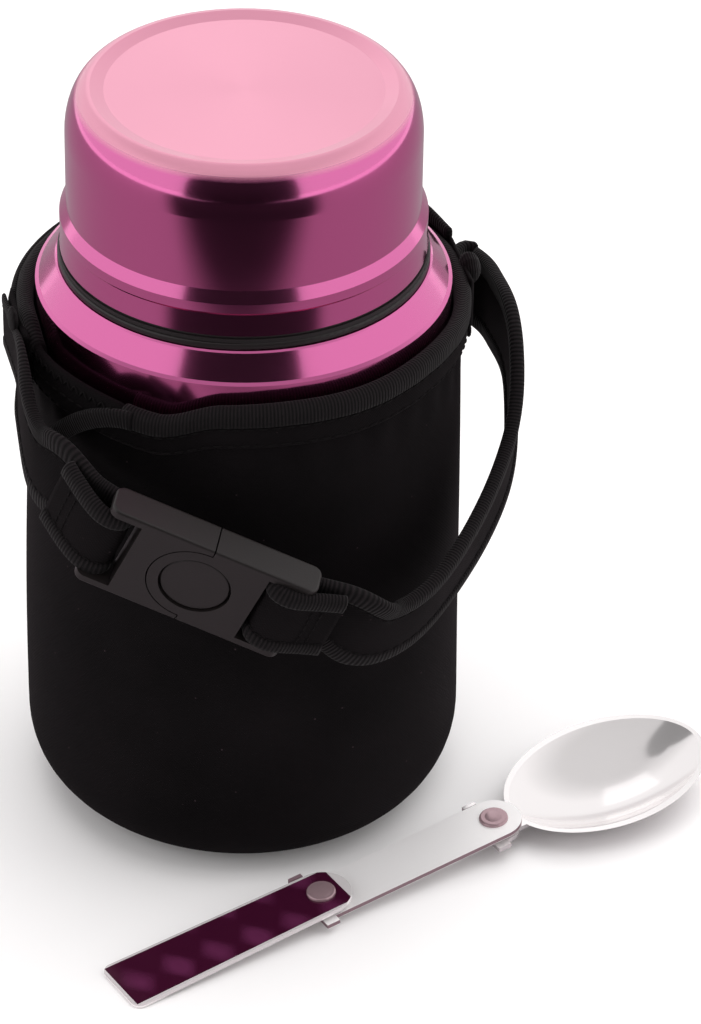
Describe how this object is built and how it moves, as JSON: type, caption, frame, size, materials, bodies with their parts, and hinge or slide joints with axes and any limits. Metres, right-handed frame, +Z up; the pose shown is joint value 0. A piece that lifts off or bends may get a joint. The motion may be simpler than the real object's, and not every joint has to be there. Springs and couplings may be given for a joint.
{
  "type": "insulated lunch box",
  "caption": "Wide-mouth vacuum food jar with a screw-on cup lid and screw stopper, in a soft sleeve with a buckled carry strap, beside a folding spoon.",
  "frame": {"origin": "on the floor under the middle of the jar, on the underside of the sleeve", "axes": "+Z up along the jar, -Y to the front where the buckle hangs, +X to the right"},
  "size_m": [0.1765, 0.1581, 0.1959],
  "materials": {
    "lacquer": "metallic pink lacquer, brushed under the coat on the lid top",
    "steel": "satin stainless steel",
    "polished_steel": "polished stainless steel",
    "black_plastic": "satin moulded black plastic",
    "grey_plastic": "satin moulded dark grey plastic",
    "silicone": "translucent white silicone",
    "foam": "moulded insulating foam",
    "neoprene": "knit-faced black neoprene",
    "thread": "black sewing thread, built up as a round tack",
    "seal_plug": "brazed plug"
  },
  "bodies": {
    "sleeve": {"sleeve_wall": "neoprene", "sleeve_base": "neoprene", "sleeve_hem": "neoprene", "strap_anchors": "neoprene", "strap_tacks": "thread"},
    "jar": {"outer_shell": "lacquer", "inner_vessel": "steel", "base_cap": "steel", "vacuum_seal": "seal_plug", "neck_collar": "black_plastic"},
    "lid_ring": {"lid_seal": "silicone"},
    "lid": {"cup_shell": "lacquer", "cup_liner": "black_plastic", "cup_foam": "foam"},
    "stopper_ring": {"stopper_seal": "silicone"},
    "stopper": {"stopper_body": "grey_plastic", "stopper_foam": "foam", "stopper_cover": "grey_plastic", "valve_spring": "steel"},
    "valve": {"valve_button": "grey_plastic", "valve_seal": "silicone"},
    "strap": {"strap_short": "neoprene", "strap_long": "neoprene", "buckle_plug": "black_plastic", "buckle_socket": "black_plastic"},
    "button": {"buckle_button": "black_plastic"},
    "spoon_base": {"spoon_bowl": "polished_steel"},
    "spoon_mid": {"spoon_link": "polished_steel", "spoon_rivets": "polished_steel", "spoon_washers": "polished_steel"},
    "spoon_grip": {"spoon_handle": "polished_steel"}
  },
  "joints": [
    {"name": "jar_lift", "type": "slide", "parent": "sleeve", "child": "jar", "axis": [0, 0, 1], "range_m": [0, 0.15]},
    {"name": "lid_rise", "type": "slide", "parent": "jar", "child": "lid_ring", "axis": [0, 0, 1], "range_m": [0, 0.0725]},
    {"name": "lid_turn", "type": "hinge", "parent": "lid_ring", "child": "lid", "pos_m": [0, 0, 0.16], "axis": [0, 0, 1], "range_deg": [0, 1620]},
    {"name": "stopper_rise", "type": "slide", "parent": "jar", "child": "stopper_ring", "axis": [0, 0, 1], "range_m": [0, 0.0162]},
    {"name": "stopper_turn", "type": "hinge", "parent": "stopper_ring", "child": "stopper", "pos_m": [0, 0, 0.155], "axis": [0, 0, 1], "range_deg": [0, 480]},
    {"name": "valve_press", "type": "slide", "parent": "stopper", "child": "valve", "axis": [0, 0, -1], "range_m": [0, 0.0025], "stiffness_N_per_m": 400, "springref_m": -0.003, "deforming": ["valve_spring"]},
    {"name": "strap_swing", "type": "hinge", "parent": "sleeve", "child": "strap", "pos_m": [0, 0, 0.1385], "axis": [-0.9703, -0.2419, 0], "range_deg": [0, 225]},
    {"name": "buckle_press", "type": "slide", "parent": "strap", "child": "button", "axis": [0.2299, 0.9539, 0.1928], "range_m": [0, 0.0018], "stiffness_N_per_m": 600, "springref_m": -0.001},
    {"name": "spoon_lift", "type": "slide", "parent": "sleeve", "child": "spoon_base", "axis": [0, 0, 1], "range_m": [0, 0.06]},
    {"name": "link_fold", "type": "hinge", "parent": "spoon_base", "child": "spoon_mid", "pos_m": [0.06369, -0.03564, 0.00565], "axis": [-0.0678, -0.0449, 0.9967], "range_deg": [0, 180]},
    {"name": "handle_fold", "type": "hinge", "parent": "spoon_mid", "child": "spoon_grip", "pos_m": [0.02131, -0.06369, 0.0015], "axis": [-0.0678, -0.0449, 0.9967], "range_deg": [0, 180]}
  ],
  "couplings": [
    {"joint": "lid_rise", "follows": "lid_turn", "m_per_rad": 0.0025465},
    {"joint": "stopper_rise", "follows": "stopper_turn", "m_per_rad": 0.0019099}
  ]
}
